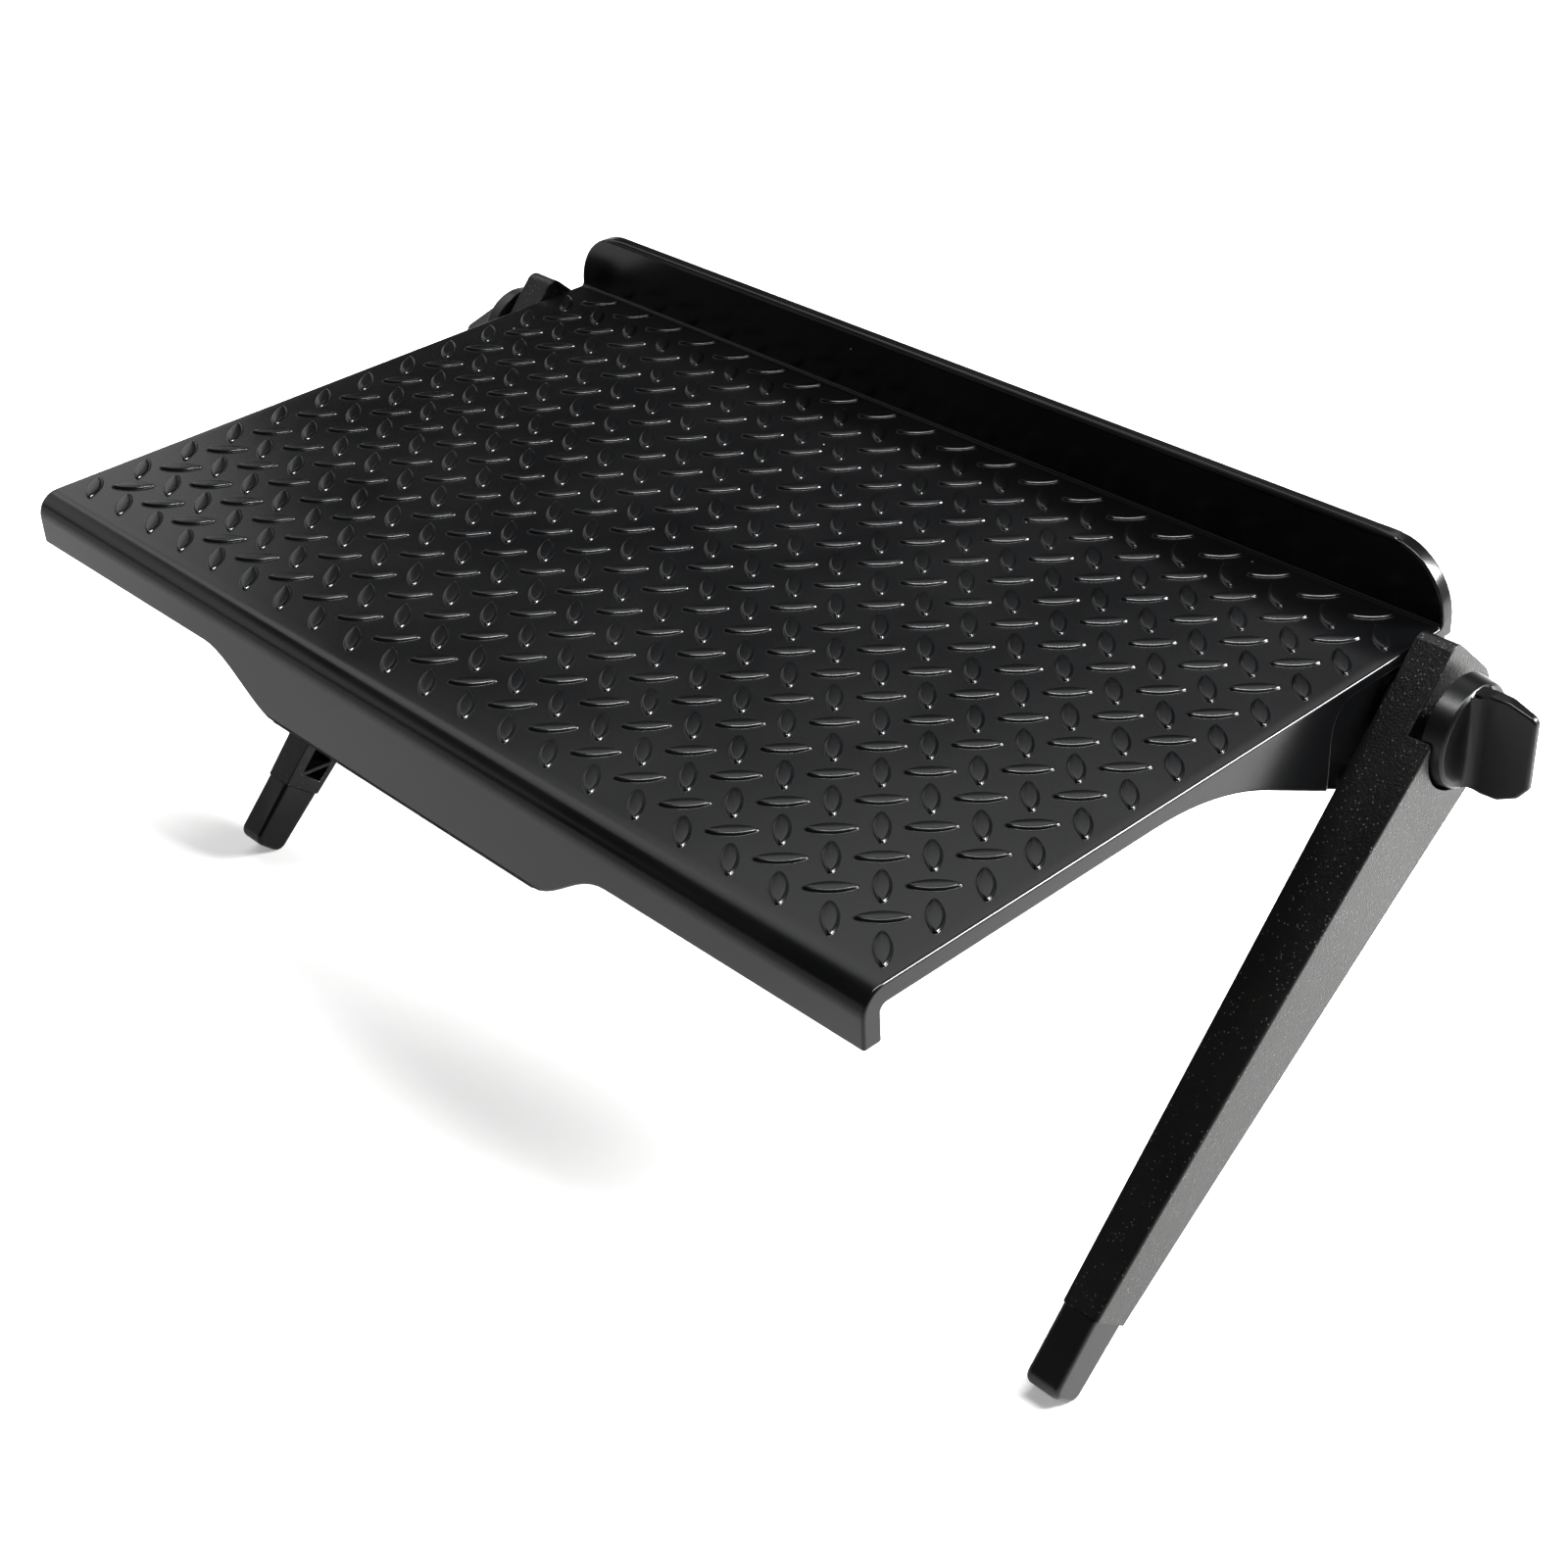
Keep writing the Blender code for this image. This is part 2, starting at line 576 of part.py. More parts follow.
def main():
    materials = {name: make_material(name) for name in COLOURS}
    build_shelf(materials["black_plastic"])
    build_pads(materials["foam_rubber"])

    leg = build_leg(materials["grained_plastic"])
    cap = build_foot_cap(materials["rubber"], leg)
    leg_left = finish(mirrored(leg, "leg_left"), materials["grained_plastic"],
                      origin=(LEG_SHIFT["left"], PIVOT_Y, PIVOT_Z), tilt=LEG_LEAN)
    finish(mirrored(cap, "foot_cap_left"), materials["rubber"], parent=leg_left)

    ring_low = HALF - POCKET_DEPTH + GAP
    right = {
        "knob": build_knob(),
        "thread_insert": build_ring("thread_insert_right", INSERT_RADIUS, BOLT_HOLE, 0, INSERT_LENGTH, 32),
        "steel_washer": build_ring("steel_washer_right", WASHER_RADIUS, BOLT_HOLE, 0, WASHER_THICK, 32),
        "pivot_bolt": build_bolt(),
        "friction_ring": build_ring("friction_ring_right", FRICTION_RING_RADIUS, BOLT_HOLE,
                                    ring_low, ring_low + FRICTION_RING_THICK, 32),
    }
    pieces = {kind: {"right": piece, "left": mirrored(piece, kind + "_left")} for kind, piece in right.items()}
    place_clamp(materials, "right", 1, pieces)
    place_clamp(materials, "left", -1, pieces)


parts, cutters = start_scene()
main()
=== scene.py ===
"""The looks of the screen-top shelf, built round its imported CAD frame.

Every moulding is its CAD solid with the outer edges rounded and the surface shaded as a moulding
is.  The deck's top also carries its tread lugs, which are one closed surface with the deck.
All lengths are metres, in the frame's own axes: +X right, +Y rear, +Z up.
"""

import json
import math

import bmesh
import bpy
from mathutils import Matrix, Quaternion, Vector
from mathutils.geometry import delaunay_2d_cdt


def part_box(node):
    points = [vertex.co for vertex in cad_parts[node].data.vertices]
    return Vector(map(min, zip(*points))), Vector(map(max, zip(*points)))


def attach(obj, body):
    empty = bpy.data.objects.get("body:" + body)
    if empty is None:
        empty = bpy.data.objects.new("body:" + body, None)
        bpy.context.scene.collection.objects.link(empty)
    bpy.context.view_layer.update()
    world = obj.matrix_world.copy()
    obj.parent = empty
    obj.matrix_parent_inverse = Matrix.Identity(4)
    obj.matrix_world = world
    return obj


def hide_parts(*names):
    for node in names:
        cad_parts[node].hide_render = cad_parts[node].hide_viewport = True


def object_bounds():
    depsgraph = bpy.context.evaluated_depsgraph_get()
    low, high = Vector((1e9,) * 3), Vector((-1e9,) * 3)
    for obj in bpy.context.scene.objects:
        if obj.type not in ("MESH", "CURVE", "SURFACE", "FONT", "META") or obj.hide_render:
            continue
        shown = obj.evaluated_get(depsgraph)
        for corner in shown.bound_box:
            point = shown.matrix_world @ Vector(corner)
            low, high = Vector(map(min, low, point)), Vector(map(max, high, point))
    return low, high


MM = 0.001
WELD = 0.002 * MM                   # joins the split corners of a CAD mesh
SLIVER = 0.001 * MM                 # rounding leaves faces narrower than this, which are closed up
FLAT = math.radians(1)              # faces closer than this are one flat face
EVEN = math.radians(0.05)           # the same for the deck, whose rounded edges have to stay
EDGE = math.radians(24)             # a convex edge sharper than this is rounded
SHARP = math.radians(40)            # an edge sharper than this shows as a crease

# Radii of the rounded edges, and the steps that make up a rounding
DECK_ROUND = 0.7 * MM
LEG_LONG_ROUND = 1.0 * MM           # a leg's long outer edges
LEG_ROUND = 0.3 * MM                # and its other edges
FOOT_ROUND = 1.3 * MM
PADDLE_ROUND = 0.7 * MM
DISC_ROUND = 0.25 * MM
STEPS = 3
SOFT_STEPS = 5
CROWD_SPAN = 1.15                   # an edge shorter than this many radii leaves no room to round
CROWD_ALONG = 0.9                   # unless it runs on nearly in line, by the cosine between them

# Which edges of the deck are outer ones: those this near to its sides, front and rear
DECK_WALL = 4.4 * MM
DECK_FRONT = 6.0 * MM
DECK_REAR = 5.0 * MM

# Leg and foot
LONG_EDGE = 100 * MM                # a leg's edges longer than this run down its length
LEG_INSIDE = 2.0 * MM               # depth of a leg's inner side, whose long edges stay crisp
LEG_SQUARE = 3.0 * MM               # how much of a leg's end stays square at the seam
FOOT_RIM = 0.5 * MM                 # corners of the foot above this, below the seam, are its rim
FOOT_SQUARE = 1.0 * MM              # how much of the foot stays square at the seam
SEAM = 151.8 * MM                   # from a leg's pivot to the seam with its rubber foot
SEAM_SLANT = 0.8 * MM               # how much higher the seam is at the leg's rear face
SEAM_LIFT = 0.2 * MM                # how far the foot's top is raised towards the leg

# Knob
KNOB_DISC = 5.5 * MM                # a knob's disc, which its paddle stands on
PADDLE_CLEAR = 1.5 * MM             # past the disc's face by this, an edge is the paddle's own
DISC_REACH = 0.2 * MM               # and up to this far it is the disc's

# Tread pattern: two sets of lugs at right angles on one square lattice
PITCH = 14.25 * MM
COLUMNS = 21
ROWS = 12
FIRST_ROW = 12.9 * MM               # from the lip's front face to the first row of lugs
LUG_LENGTH = 10.8 * MM
LUG_WIDTH = 3.3 * MM
LUG_TIP = 0.35 * MM                 # radius of a lug's pointed ends
LUG_ARC_STEPS = 7
LUG_TIP_STEPS = 2
LUG_CROWN = 0.07 * MM               # how far the middle line stands over the flat
# Section of a lug's side as (out from its shoulder, height), from the deck up to the flat
LUG_SIDE = [(0.50, 0.0), (0.43, 0.0), (0.30, 0.04), (0.20, 0.15), (0.14, 0.30), (0.06, 0.383),
            (-0.06, 0.484), (-0.20, 0.578), (-0.33, 0.647)]

# Floor, as (radius, height) from its middle outwards, and its paper
FLOOR_PROFILE = [(1.5, 0.0), (4.5, 0.0), (5.2, 0.06), (5.7, 0.25), (6.0, 0.6), (6.1, 1.15)]
FLOOR_SIDES = 96
FLOOR_DROP = 0.2 * MM               # the floor's depth below the feet
PAPER_DARK = (0.72, 0.72, 0.715)
PAPER_LIGHT = (0.76, 0.76, 0.755)
PAPER_BLOTCH = 0.4                  # size of the paper's paler and darker areas
PAPER_ROUGH = 0.9
GLOW_RADII = (0.3, 1.6)             # the paper's glow grows from the one radius to the other
GLOW = (0.38, 0.95)                 # and this is its strength at each

# Lights, as (name, place, aim, size, radiance, roll about the line of aim)
MIDDLE = (0, 0.08, 0)
SOFTBOXES = [
    ("rear_right_softbox", (0.86, 0.84, 0.65), MIDDLE, (0.5, 0.5), 82.0, 0.0),
    ("overhead_strip", (0.24, 0.095, 0.75), (0.24, 0.095, 0), (0.75, 0.11), 54.0,
     math.radians(43)),
    ("far_left_panel", (-1.72, 1.30, 2.38), MIDDLE, (3.4, 1.4), 2.8, 0.0),
    ("left_softbox", (-1.26, -0.142, 0.57), MIDDLE, (1.75, 0.45), 1.9, 0.0),
]
WORLD_GLOW = 0.06

# Camera
CAMERA_PLACE = (0.4191, -0.2759, 0.2990)
CAMERA_AIM = (0.0879, 0.0201, 0.0057)
CAMERA_ROLL = math.radians(-2.94)
CAMERA_LENS = 59.1                  # in millimetres, as the sensor's width is
CAMERA_SENSOR = 36
CAMERA_RANGE = (0.01, 50)
TONE_GAMMA = 0.75                   # below 1 deepens the dark tones


# ---------------------------------------------------------------- materials
MIX_A, MIX_B, MIX_RESULT = 6, 7, 2  # the colour sockets of a Mix node
MIDRANGE = (0.3, 0.7)               # the part of a noise's range that nearly all of it lies in
# the speck grid serves both the dust and the legs' painted glints
DUST_AND_GLINT_TURN = (0.5, 0.8, 0.3)         # turns the specks' grid, so no flat face follows a layer of it
WAVE_SIZE = 35 * MM
WAVE_DEPTH = 0.004 * MM
MARK_DEPTH = 0.01 * MM


def node(tree, kind, **values):
    """A shader node, with named inputs or properties set."""
    made = tree.nodes.new("ShaderNode" + kind)
    for key, value in values.items():
        if key in made.inputs:
            made.inputs[key].default_value = value
        else:
            setattr(made, key, value)
    return made


def new_material(name):
    material = bpy.data.materials.new(name)
    material.use_nodes = True
    tree = material.node_tree
    shader = tree.nodes["Principled BSDF"]
    where = node(tree, "TexCoord").outputs["Object"]
    return material, tree, shader, where


def ramp_between(tree, factor, low, high, dark, light):
    """A colour ramp from dark to light, between two values of the factor."""
    ramp = node(tree, "ValToRGB")
    ramp.color_ramp.elements[0].position = low
    ramp.color_ramp.elements[0].color = (*dark, 1)
    ramp.color_ramp.elements[1].position = high
    ramp.color_ramp.elements[1].color = (*light, 1)
    tree.links.new(factor, ramp.inputs["Fac"])
    return ramp.outputs["Color"]


def spread_to(tree, factor, low, high):
    """The middle of the factor's range, mapped to low and high."""
    spread = node(tree, "MapRange")
    spread.inputs["From Min"].default_value = MIDRANGE[0]
    spread.inputs["From Max"].default_value = MIDRANGE[1]
    spread.inputs["To Min"].default_value = low
    spread.inputs["To Max"].default_value = high
    tree.links.new(factor, spread.inputs["Value"])
    return spread.outputs["Result"]


def noise(tree, where, size, detail=2.0, roughness=0.5):
    """Noise whose features are about the given size in metres."""
    made = node(tree, "TexNoise", Scale=1 / size, Detail=detail, Roughness=roughness)
    tree.links.new(where, made.inputs["Vector"])
    return made.outputs["Fac"]


def dust_and_glint_specks(tree, where, spacing, share, radius):
    """A mask of small scattered specks, one in some of the cells of a loose grid: dust on most
    pieces, painted glints on the legs.
    """
    turned = node(tree, "Mapping", Rotation=DUST_AND_GLINT_TURN)
    tree.links.new(where, turned.inputs["Vector"])
    cells = node(tree, "TexVoronoi", Scale=1 / spacing)
    tree.links.new(turned.outputs["Vector"], cells.inputs["Vector"])
    split = node(tree, "SeparateColor")
    tree.links.new(cells.outputs["Color"], split.inputs["Color"])
    near = node(tree, "Math", operation="LESS_THAN")
    near.inputs[1].default_value = radius / spacing
    tree.links.new(cells.outputs["Distance"], near.inputs[0])
    chosen = node(tree, "Math", operation="LESS_THAN")
    chosen.inputs[1].default_value = share
    tree.links.new(split.outputs["Red"], chosen.inputs[0])
    both = node(tree, "Math", operation="MULTIPLY")
    tree.links.new(near.outputs["Value"], both.inputs[0])
    tree.links.new(chosen.outputs["Value"], both.inputs[1])
    return both.outputs["Value"]


def bump(tree, height, depth, normal=None):
    """A bump of the given depth in metres, over another one if there is one."""
    made = node(tree, "Bump", Strength=1.0, Distance=depth)
    tree.links.new(height, made.inputs["Height"])
    if normal is not None:
        tree.links.new(normal, made.inputs["Normal"])
    return made.outputs["Normal"]


def plastic(name, dark, light, rough, grain, grain_depth, ior, specks=None):
    """Moulded plastic or rubber: fine grain, slow waves, uneven gloss and small pale specks.

    The specks are given as (spacing, share of the cells that hold one, radius, shade); on most
    pieces they are dust, on the legs they are painted glints, pale colour where the grain would
    sparkle.
    """
    material, tree, shader, where = new_material(name)
    slow = noise(tree, where, WAVE_SIZE, 3.0)
    fine = noise(tree, where, grain, 3.0, 0.6)
    colour = ramp_between(tree, slow, 0.35, 0.65, dark, light)
    # pale specks mixed into the base colour: dust on most pieces, painted glints on the legs
    if specks:
        spacing, share, radius, shade = specks
        mix = node(tree, "Mix", data_type="RGBA")
        tree.links.new(dust_and_glint_specks(tree, where, spacing, share, radius), mix.inputs["Factor"])
        tree.links.new(colour, mix.inputs[MIX_A])
        mix.inputs[MIX_B].default_value = (shade, shade, shade, 1)
        colour = mix.outputs[MIX_RESULT]
    tree.links.new(colour, shader.inputs["Base Color"])
    tree.links.new(spread_to(tree, slow, *rough), shader.inputs["Roughness"])
    waves = bump(tree, slow, WAVE_DEPTH)
    tree.links.new(bump(tree, fine, grain_depth, waves), shader.inputs["Normal"])
    shader.inputs["IOR"].default_value = ior
    return material


def metal(name, dark, light, rough, brushed):
    """Plated metal with fine turning marks."""
    material, tree, shader, where = new_material(name)
    marks = noise(tree, where, brushed, 4.0, 0.6)
    tree.links.new(ramp_between(tree, marks, *MIDRANGE, dark, light), shader.inputs["Base Color"])
    tree.links.new(spread_to(tree, marks, *rough), shader.inputs["Roughness"])
    tree.links.new(bump(tree, marks, MARK_DEPTH), shader.inputs["Normal"])
    shader.inputs["Metallic"].default_value = 1.0
    return material


# Specks, as (spacing, share of the cells that hold one, radius, shade): the first set is dust, the
# second is painted glints, pale specks that stand in for the sparkle of the legs' grain
DUST = (9 * MM, 0.12, 0.20 * MM, 0.5)
# painted glints: pale specks in the legs' colour, put where the grain's facets would catch the
# light
PAINTED_GLINT_SPECKS = (0.9 * MM, 0.45, 0.17 * MM, 0.09)

MATERIALS = {
    "black_plastic": plastic(
        "deck_plastic", dark=(0.0030, 0.0032, 0.0036), light=(0.0050, 0.0052, 0.0056),
        rough=(0.20, 0.24), grain=0.30 * MM, grain_depth=0.0028 * MM, ior=1.38, specks=DUST),
    # the legs: their pale specks are painted glints, not dust
    "grained_plastic": plastic(
        "leg_plastic", dark=(0.0024, 0.0024, 0.0023), light=(0.0042, 0.0042, 0.0040),
        rough=(0.29, 0.34), grain=0.50 * MM, grain_depth=0.12 * MM, ior=1.45, specks=PAINTED_GLINT_SPECKS),
    "knob_plastic": plastic(
        "knob_plastic_satin", dark=(0.0030, 0.0032, 0.0032), light=(0.0050, 0.0053, 0.0053),
        rough=(0.30, 0.36), grain=0.25 * MM, grain_depth=0.008 * MM, ior=1.36, specks=DUST),
    "rubber": plastic(
        "foot_rubber", dark=(0.0035, 0.0035, 0.0035), light=(0.0060, 0.0060, 0.0058),
        rough=(0.30, 0.38), grain=0.20 * MM, grain_depth=0.010 * MM, ior=1.42, specks=DUST),
    "foam_rubber": plastic(
        "pad_foam", dark=(0.012, 0.012, 0.012), light=(0.024, 0.024, 0.024),
        rough=(0.80, 0.95), grain=0.45 * MM, grain_depth=0.10 * MM, ior=1.5),
    "nylon": plastic(
        "ring_nylon", dark=(0.010, 0.010, 0.010), light=(0.016, 0.016, 0.016),
        rough=(0.36, 0.46), grain=0.30 * MM, grain_depth=0.006 * MM, ior=1.5),
    "zinc_steel": metal(
        "bolt_zinc", dark=(0.45, 0.46, 0.48), light=(0.68, 0.68, 0.70),
        rough=(0.22, 0.36), brushed=0.25 * MM),
    "brass": metal(
        "insert_brass", dark=(0.62, 0.46, 0.22), light=(0.82, 0.64, 0.34),
        rough=(0.22, 0.36), brushed=0.25 * MM),
}


# ---------------------------------------------------------------- mouldings
def solid_of(name):
    """The mesh of a CAD node, with its corners joined and each flat face whole."""
    bm = bmesh.new()
    bm.from_mesh(frame["nodes"][name].data)
    bmesh.ops.remove_doubles(bm, verts=bm.verts, dist=WELD)
    bmesh.ops.dissolve_limit(bm, angle_limit=FLAT, verts=bm.verts, edges=bm.edges)
    return bm


def outer_edges(bm, keep=None):
    """The convex edges that a mould would round, or those of them that keep() accepts."""
    return [edge for edge in bm.edges
            if edge.is_manifold and edge.calc_face_angle_signed() > EDGE
            and (keep is None or keep((edge.verts[0].co + edge.verts[1].co) / 2))]


def crowded(edge, chosen, radius):
    """Whether a short edge beside one of the edge's ends leaves no room to round it."""
    for vert in edge.verts:
        along = (edge.other_vert(vert).co - vert.co).normalized()
        for side in vert.link_edges:
            span = side.other_vert(vert).co - vert.co
            short = span.length < CROWD_SPAN * radius
            if side not in chosen and short and abs(span.normalized().dot(along)) < CROWD_ALONG:
                return True
    return False


def round_edges(bm, edges, radius, segments=STEPS):
    """Round those of the edges that have room for it."""
    chosen = set(edges)
    tight = {edge for edge in chosen if crowded(edge, chosen, radius)}
    while tight:
        chosen -= tight
        tight = {edge for edge in chosen if crowded(edge, chosen, radius)}
    bmesh.ops.bevel(bm, geom=[edge for edge in bm.edges if edge in chosen], offset=radius,
                    offset_type="OFFSET", segments=segments, profile=0.5, affect="EDGES",
                    clamp_overlap=False, material=-1)


def piece_from(bm, name, cad_node, slot):
    """A piece in place of a CAD node: it rides on that node's body and takes its finish."""
    mesh = bpy.data.meshes.new(name)
    bmesh.ops.remove_doubles(bm, verts=bm.verts, dist=SLIVER)
    bmesh.ops.dissolve_degenerate(bm, dist=SLIVER, edges=bm.edges)
    bm.to_mesh(mesh)
    bm.free()
    mesh.shade_smooth()
    mesh.set_sharp_from_angle(angle=SHARP)
    mesh.materials.append(MATERIALS[slot])
    piece = bpy.data.objects.new(name, mesh)
    bpy.context.scene.collection.objects.link(piece)
    weighted = piece.modifiers.new("weighted_normals", "WEIGHTED_NORMAL")
    weighted.keep_sharp = True
    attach(piece, body_with(cad_node))
    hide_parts(cad_node)


def body_with(cad_node):
    bodies = frame["record"]["behaviour"]["bodies"]
    return next(body for body, nodes in bodies.items() if cad_node in nodes)


# ---------------------------------------------------------------- deck and its tread
def lug_outline():
    """A lug's core outline, both arcs and the fans at its tips, as (point, outward direction)."""
    half, rise = LUG_LENGTH / 2 - LUG_TIP, LUG_WIDTH / 2 - LUG_TIP
    radius = (half ** 2 + rise ** 2) / (2 * rise)
    opening = math.asin(half / radius)
    outline = []
    for sign in (1, -1):
        for i in range(LUG_ARC_STEPS + 1):
            angle = opening - 2 * opening * i / LUG_ARC_STEPS
            out = Vector((math.sin(angle), math.cos(angle))) * sign
            outline.append((out * radius - Vector((0, sign * (radius - rise))), out))
        tip = Vector((-sign * half, 0))
        for i in range(1, LUG_TIP_STEPS):
            angle = opening + (math.pi - 2 * opening) * i / LUG_TIP_STEPS
            outline.append((tip, Vector((-math.sin(angle), math.cos(angle))) * sign))
    return outline


def lug_places():
    """Centre and direction of every lug on the deck."""
    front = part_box("shelf")[0].y + FIRST_ROW
    slant = math.radians(45)
    for row in range(ROWS):
        for column in range(COLUMNS):
            place = Vector(((column - (COLUMNS - 1) / 2) * PITCH, front + row * PITCH))
            yield place, -slant
            if column < COLUMNS - 1:
                yield place + Vector((PITCH / 2, PITCH / 2)), slant


def raise_lug(bm, outline, place, turn, deck_top):
    """Add one lug's rings of faces, and return its lowest ring, which lies on the deck."""
    along = Vector((math.cos(turn), math.sin(turn)))
    across = Vector((-along.y, along.x))
    rings = []
    for out, height in LUG_SIDE:
        ring = []
        for point, direction in outline:
            flat = point + direction * (LUG_TIP + out * MM)
            spot = place + along * flat.x + across * flat.y
            ring.append(bm.verts.new((spot.x, spot.y, deck_top + height * MM)))
        rings.append(ring)
    count = len(outline)
    for lower, upper in zip(rings, rings[1:]):
        for i in range(count):
            after = (i + 1) % count
            bm.faces.new((lower[after], lower[i], upper[i], upper[after]))
    fill_lug(bm, rings[-1])
    return rings[0]


def fill_lug(bm, ring):
    """Close a lug's top with a low ridge along its middle."""
    half = len(ring) // 2
    arc = ring[:LUG_ARC_STEPS + 1]
    mirror = ring[half:half + LUG_ARC_STEPS + 1][::-1]
    ridge = []
    for near, far in zip(arc, mirror):
        middle = (near.co + far.co) / 2
        rise = (near.co - far.co).length / LUG_WIDTH
        ridge.append(bm.verts.new(middle + Vector((0, 0, LUG_CROWN * rise))))
    for i in range(LUG_ARC_STEPS):
        bm.faces.new((arc[i + 1], arc[i], ridge[i], ridge[i + 1]))
        bm.faces.new((mirror[i], mirror[i + 1], ridge[i + 1], ridge[i]))
    tip_fan(bm, [arc[-1], *ring[LUG_ARC_STEPS + 1:half], mirror[-1]], ridge[-1])
    tip_fan(bm, [mirror[0], *ring[half + LUG_ARC_STEPS + 1:], arc[0]], ridge[0])


def tip_fan(bm, rim, centre):
    for a, b in zip(rim, rim[1:]):
        bm.faces.new((b, a, centre))


def tread_top(bm):
    """Replace the deck's plain top face by one with all the lugs standing on it."""
    level = [face for face in bm.faces if face.normal.z > 0.999]
    top = max(level, key=lambda face: face.calc_area())
    rim = [loop.vert for loop in top.loops]
    deck_top = rim[0].co.z
    bm.faces.remove(top)
    loops = [rim]
    outline = lug_outline()
    for place, turn in lug_places():
        loops.append(raise_lug(bm, outline, place, turn, deck_top))

    verts, owner, edges = [], [], []
    for index, loop in enumerate(loops):
        first = len(verts)
        verts.extend(loop)
        owner.extend([index] * len(loop))
        edges.extend((first + i, first + (i + 1) % len(loop)) for i in range(len(loop)))
    flat = [vert.co.to_2d() for vert in verts]
    points, _, faces, origins, _, _ = delaunay_2d_cdt(flat, edges, [], 1, 1e-7)
    if len(points) != len(verts):
        raise ValueError("the lugs' outlines cross")
    for face in faces:
        corners = [origins[i][0] for i in face]
        on_one_lug = len({owner[i] for i in corners}) == 1 and owner[corners[0]] > 0
        if not on_one_lug:
            bm.faces.new([verts[i] for i in corners])


def build_deck():
    """The one-piece moulding of deck, lip, fence and gussets."""
    low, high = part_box("shelf")

    def on_outside(point):
        between = low.y + DECK_FRONT < point.y < high.y - DECK_REAR
        return abs(point.x) > high.x - DECK_WALL or not between

    bm = solid_of("shelf")
    round_edges(bm, outer_edges(bm, on_outside), DECK_ROUND)
    bmesh.ops.dissolve_limit(bm, angle_limit=EVEN, verts=bm.verts, edges=bm.edges)
    tread_top(bm)
    bmesh.ops.recalc_face_normals(bm, faces=bm.faces)
    piece_from(bm, "deck_moulding", "shelf", "black_plastic")


def leg_axes(side):
    """A leg's pivot, the direction down the leg, and the direction its front faces."""
    record = frame["record"]
    pivot = next(row for row in record["behaviour"]["joints"] if row["name"] == "leg_fold_" + side)
    foot = next(row for row in record["mounts"] if row["name"] == "foot_" + side)
    forward = Vector(foot["axis"])
    return Vector(pivot["pos_m"]), Vector((0, -forward.z, forward.y)), forward


def below_pivot(point, side):
    """How far a point lies down the leg from its pivot."""
    pivot, down, _ = leg_axes(side)
    return (point - pivot).dot(down)


def build_leg(side):
    """A leg: its long outer edges are softer than the rest, and its end at the seam is square."""
    bm = solid_of("leg_" + side)
    inner = min(abs(vert.co.x) for vert in bm.verts)

    def is_long(edge):
        return edge.calc_length() > LONG_EDGE and abs(edge.verts[0].co.x) > inner + LEG_INSIDE

    def above_seam(point):
        return below_pivot(point, side) < SEAM - LEG_SQUARE

    long_edges = [edge for edge in outer_edges(bm) if is_long(edge)]
    round_edges(bm, long_edges, LEG_LONG_ROUND, SOFT_STEPS)
    round_edges(bm, outer_edges(bm, above_seam), LEG_ROUND)
    piece_from(bm, "leg_moulding_" + side, "leg_" + side, "grained_plastic")


def build_foot(side):
    """A rubber foot, its top slanted as the leg's end is, so that the seam is one fine line."""
    bm = solid_of("foot_cap_" + side)
    pivot, down, forward = leg_axes(side)
    rim = [vert for vert in bm.verts if below_pivot(vert.co, side) < SEAM + FOOT_RIM]
    reach = [(vert.co - pivot).dot(forward) for vert in rim]
    for vert, ahead in zip(rim, reach):
        behind = (max(reach) - ahead) / (max(reach) - min(reach))
        vert.co -= down * (SEAM_LIFT + SEAM_SLANT * behind)

    def below_seam(point):
        return below_pivot(point, side) > SEAM + FOOT_SQUARE

    round_edges(bm, outer_edges(bm, below_seam), FOOT_ROUND, SOFT_STEPS)
    piece_from(bm, "foot_rubber_" + side, "foot_cap_" + side, "rubber")


def build_knob(side):
    """A thumb knob: the rim of its disc is crisp and its paddle's edges are soft."""
    bm = solid_of("knob_" + side)
    face = min(abs(vert.co.x) for vert in bm.verts) + KNOB_DISC

    def on_paddle(point):
        return abs(point.x) > face + PADDLE_CLEAR

    def on_disc(point):
        return abs(point.x) < face + DISC_REACH

    round_edges(bm, outer_edges(bm, on_paddle), PADDLE_ROUND, SOFT_STEPS)
    round_edges(bm, outer_edges(bm, on_disc), DISC_ROUND)
    piece_from(bm, "thumb_knob_" + side, "knob_" + side, "knob_plastic")


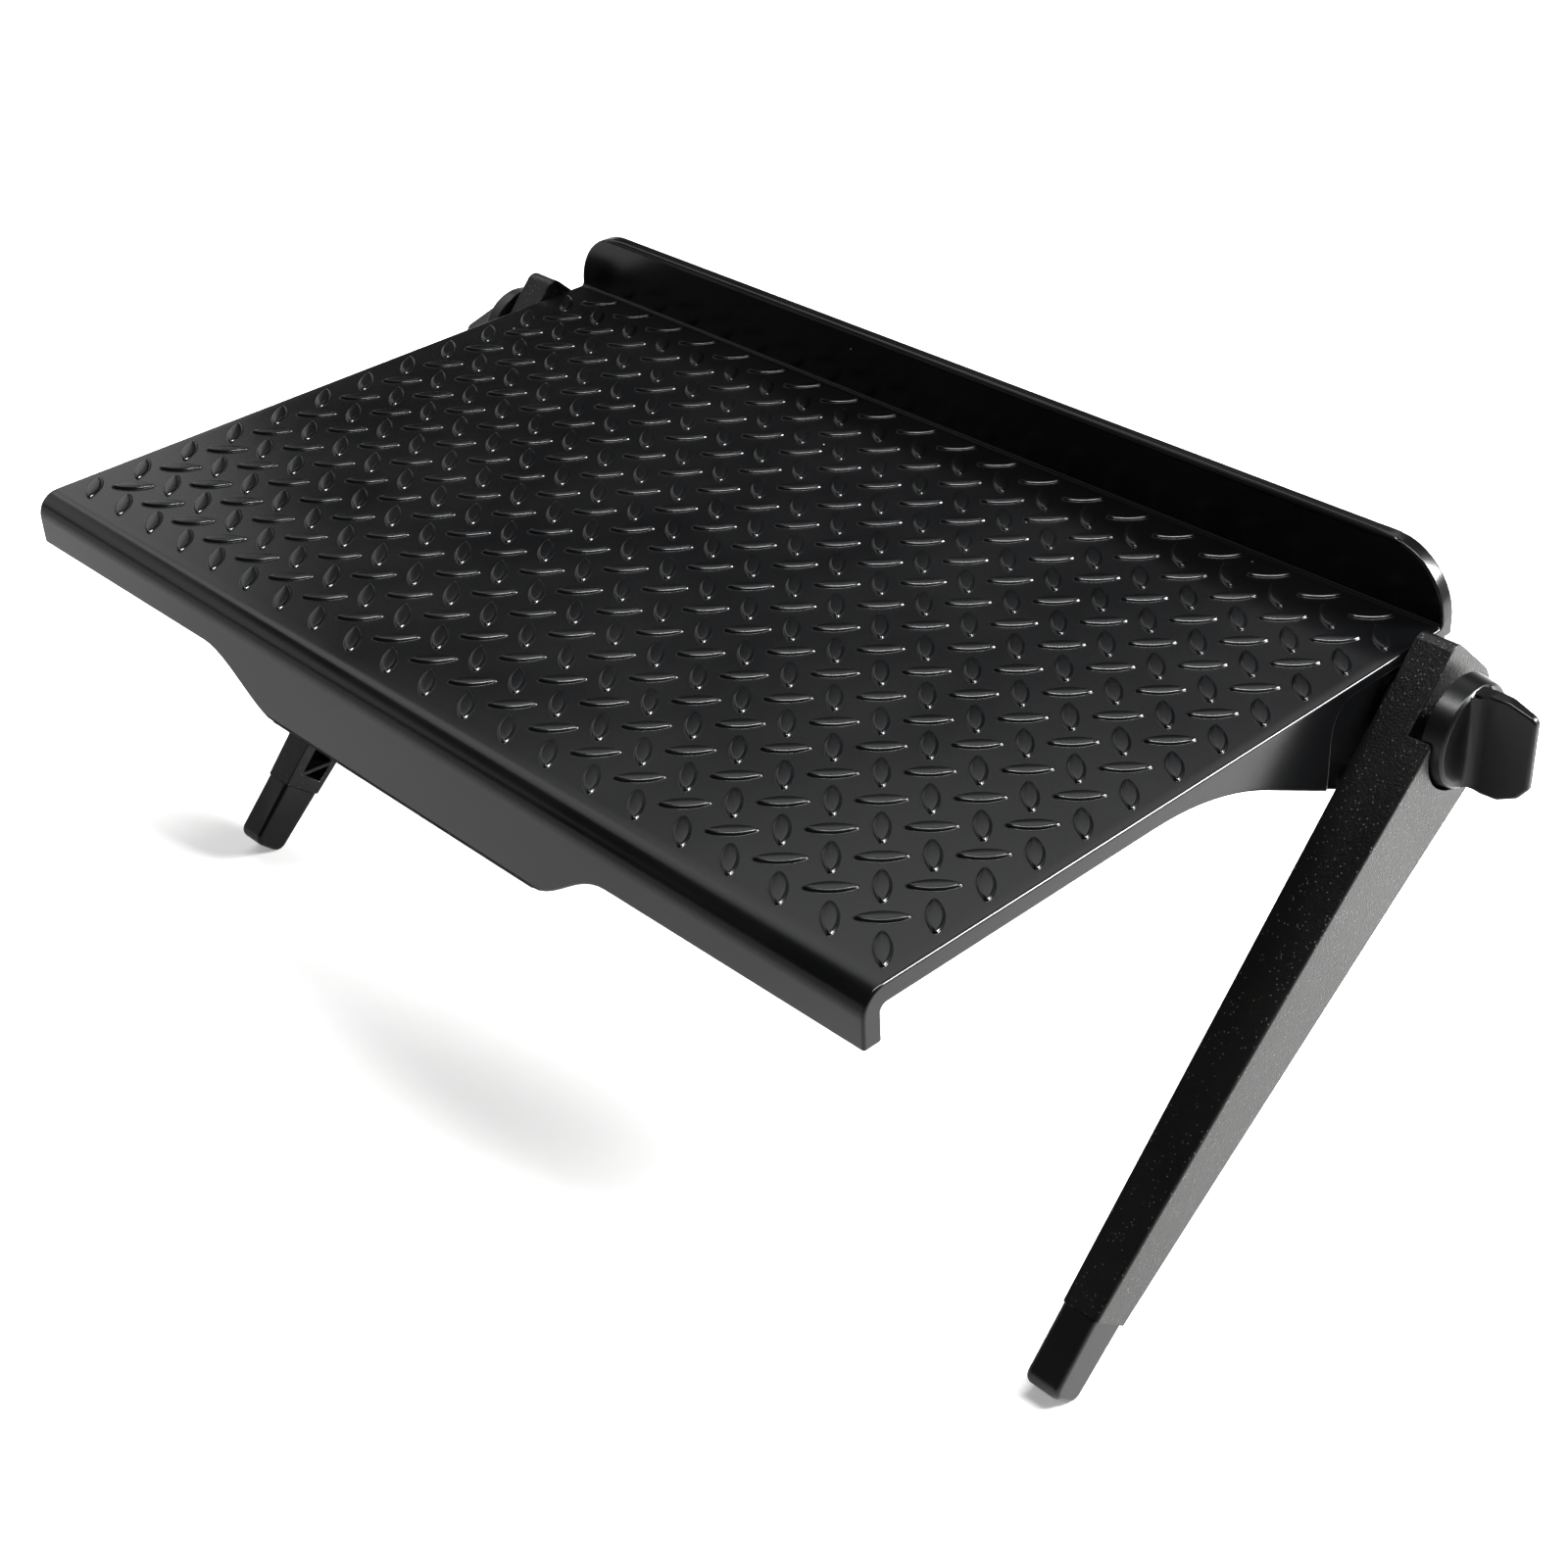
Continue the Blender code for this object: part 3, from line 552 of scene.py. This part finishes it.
# ---------------------------------------------------------------- floor, light and camera
def build_floor(level):
    """Pale paper that brightens away from the object and turns up in a low cove."""
    bm = bmesh.new()
    turns = [math.tau * i / FLOOR_SIDES for i in range(FLOOR_SIDES)]
    rings = [[bm.verts.new((radius * math.cos(turn), radius * math.sin(turn), height))
              for turn in turns] for radius, height in FLOOR_PROFILE]
    bm.faces.new(rings[0])
    for inner, outer in zip(rings, rings[1:]):
        for i in range(FLOOR_SIDES):
            after = (i + 1) % FLOOR_SIDES
            bm.faces.new((inner[after], inner[i], outer[i], outer[after]))
    mesh = bpy.data.meshes.new("floor")
    bm.to_mesh(mesh)
    bm.free()
    mesh.shade_smooth()
    floor = bpy.data.objects.new("floor", mesh)
    floor.location = (0, 0, level)
    bpy.context.scene.collection.objects.link(floor)
    material, tree, shader, where = new_material("floor_paper")
    slow = noise(tree, where, PAPER_BLOTCH)
    tree.links.new(ramp_between(tree, slow, *MIDRANGE, PAPER_DARK, PAPER_LIGHT),
                   shader.inputs["Base Color"])
    shader.inputs["Roughness"].default_value = PAPER_ROUGH
    shader.inputs["Emission Color"].default_value = (1, 1, 1, 1)
    far = node(tree, "VectorMath", operation="LENGTH")
    tree.links.new(where, far.inputs[0])
    glow = node(tree, "MapRange", interpolation_type="SMOOTHSTEP")
    for key, value in zip(("From Min", "From Max", "To Min", "To Max"), (*GLOW_RADII, *GLOW)):
        glow.inputs[key].default_value = value
    tree.links.new(far.outputs["Value"], glow.inputs["Value"])
    tree.links.new(glow.outputs["Result"], shader.inputs["Emission Strength"])
    mesh.materials.append(material)


def add_softbox(name, place, aim, size, radiance, roll):
    """A rectangular light; its power follows from its size and the brightness it shows."""
    light = bpy.data.lights.new(name, "AREA")
    light.shape = "RECTANGLE"
    light.size, light.size_y = size
    light.energy = radiance * math.pi * size[0] * size[1]
    lamp = bpy.data.objects.new(name, light)
    lamp.location = place
    direction = Vector(aim) - Vector(place)
    turn = direction.to_track_quat("-Z", "Y") @ Quaternion((0, 0, 1), roll)
    lamp.rotation_euler = turn.to_euler()
    bpy.context.scene.collection.objects.link(lamp)


def light_studio():
    """The softboxes, an even glow from all round, and the tone of the view."""
    for softbox in SOFTBOXES:
        add_softbox(*softbox)
    world = bpy.data.worlds.new("studio")
    world.use_nodes = True
    back = world.node_tree.nodes["Background"]
    back.inputs["Color"].default_value = (1, 1, 1, 1)
    back.inputs["Strength"].default_value = WORLD_GLOW
    bpy.context.scene.world = world
    view = bpy.context.scene.view_settings
    view.view_transform = "Standard"
    view.gamma = TONE_GAMMA


def place_camera():
    data = bpy.data.cameras.new("camera")
    data.sensor_width = CAMERA_SENSOR
    data.lens = CAMERA_LENS
    data.clip_start, data.clip_end = CAMERA_RANGE
    camera = bpy.data.objects.new("camera", data)
    camera.location = CAMERA_PLACE
    direction = Vector(CAMERA_AIM) - Vector(CAMERA_PLACE)
    camera.rotation_mode = "QUATERNION"
    aimed = direction.to_track_quat("-Z", "Y")
    camera.rotation_quaternion = aimed @ Quaternion((0, 0, 1), CAMERA_ROLL)
    bpy.context.scene.collection.objects.link(camera)
    bpy.context.scene.camera = camera


def use_material(cad_node, slot):
    """Give a CAD node that stays as it is its procedural material."""
    mesh = frame["nodes"][cad_node].data
    for index in range(len(mesh.materials)):
        mesh.materials[index] = MATERIALS[slot]


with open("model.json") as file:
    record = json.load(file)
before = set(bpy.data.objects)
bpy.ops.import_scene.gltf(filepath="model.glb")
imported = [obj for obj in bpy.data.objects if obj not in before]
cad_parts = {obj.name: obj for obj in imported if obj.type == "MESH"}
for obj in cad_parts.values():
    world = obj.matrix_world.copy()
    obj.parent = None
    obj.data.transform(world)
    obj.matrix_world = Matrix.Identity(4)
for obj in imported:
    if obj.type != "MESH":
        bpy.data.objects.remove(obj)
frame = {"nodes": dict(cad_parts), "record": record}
cad_low, cad_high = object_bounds()

build_deck()
for side in ("left", "right"):
    build_leg(side)
    build_foot(side)
    build_knob(side)
for row in frame["record"]["subparts"]:
    if not frame["nodes"][row["node"]].hide_render:
        use_material(row["node"], row["material_slot"])

build_floor(cad_low.z - FLOOR_DROP)
light_studio()
place_camera()
